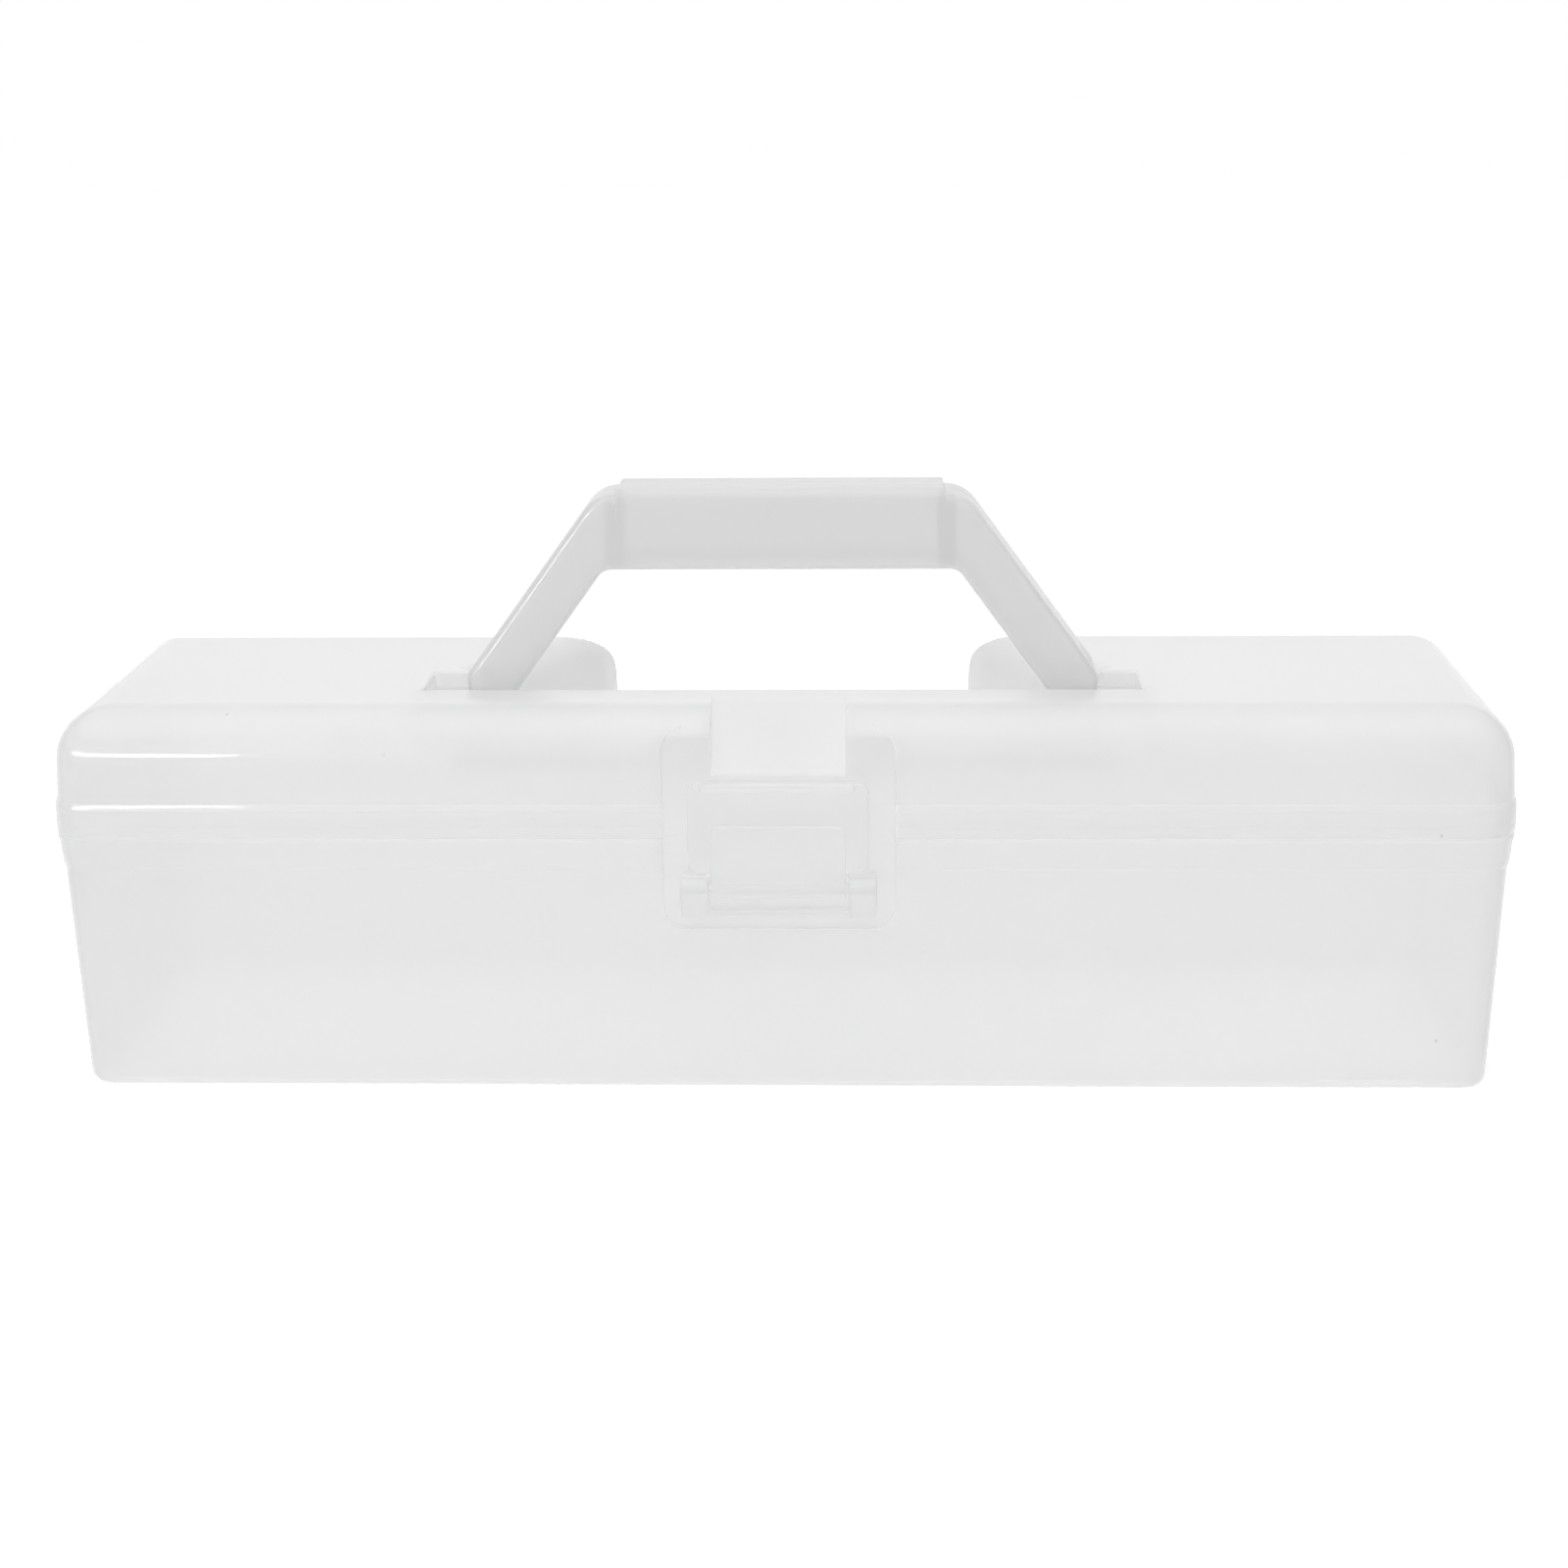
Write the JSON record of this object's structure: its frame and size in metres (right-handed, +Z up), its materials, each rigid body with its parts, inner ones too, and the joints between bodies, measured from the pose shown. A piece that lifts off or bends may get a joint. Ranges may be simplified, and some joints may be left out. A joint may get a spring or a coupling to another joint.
{
  "type": "art supply box",
  "caption": "Long translucent moulded carry box for brushes and paint tubes, with a hinged lid, a folding bail handle in a trough and a front snap latch.",
  "frame": {"origin": "middle of the flat underside of the tub, half way along the length and half way between the front and back rims", "axes": "+X along the length to the right seen from the latch side, +Y from the latch to the hinges, +Z up"},
  "size_m": [0.38, 0.12, 0.156],
  "materials": {
    "clear_shell": "translucent natural polypropylene, glossy outside with soft internal haze",
    "milky_handle": "thicker milky polypropylene, satin gloss",
    "clear_latch": "translucent natural polypropylene, glossy",
    "milky_pin": "milky polypropylene rod, smooth"
  },
  "bodies": {
    "tub": {"base_tub": "clear_shell", "latch_pin": "milky_pin", "hinge_pin_left": "milky_pin", "hinge_pin_right": "milky_pin"},
    "lid": {"lid": "clear_shell"},
    "handle": {"carry_handle": "milky_handle"},
    "latch": {"latch": "clear_latch"}
  },
  "joints": [
    {"name": "lid_hinge", "type": "hinge", "parent": "tub", "child": "lid", "pos_m": [0, 0.0584, 0.071], "axis": [-1, 0, 0], "range_deg": [0, 110]},
    {"name": "handle_fold", "type": "hinge", "parent": "lid", "child": "handle", "pos_m": [0, -0.0212, 0.0988], "axis": [-1, 0, 0], "range_deg": [0, 90]},
    {"name": "latch_flip", "type": "hinge", "parent": "tub", "child": "latch", "pos_m": [0, -0.0556, 0.057], "axis": [1, 0, 0], "range_deg": [0, 135]}
  ]
}
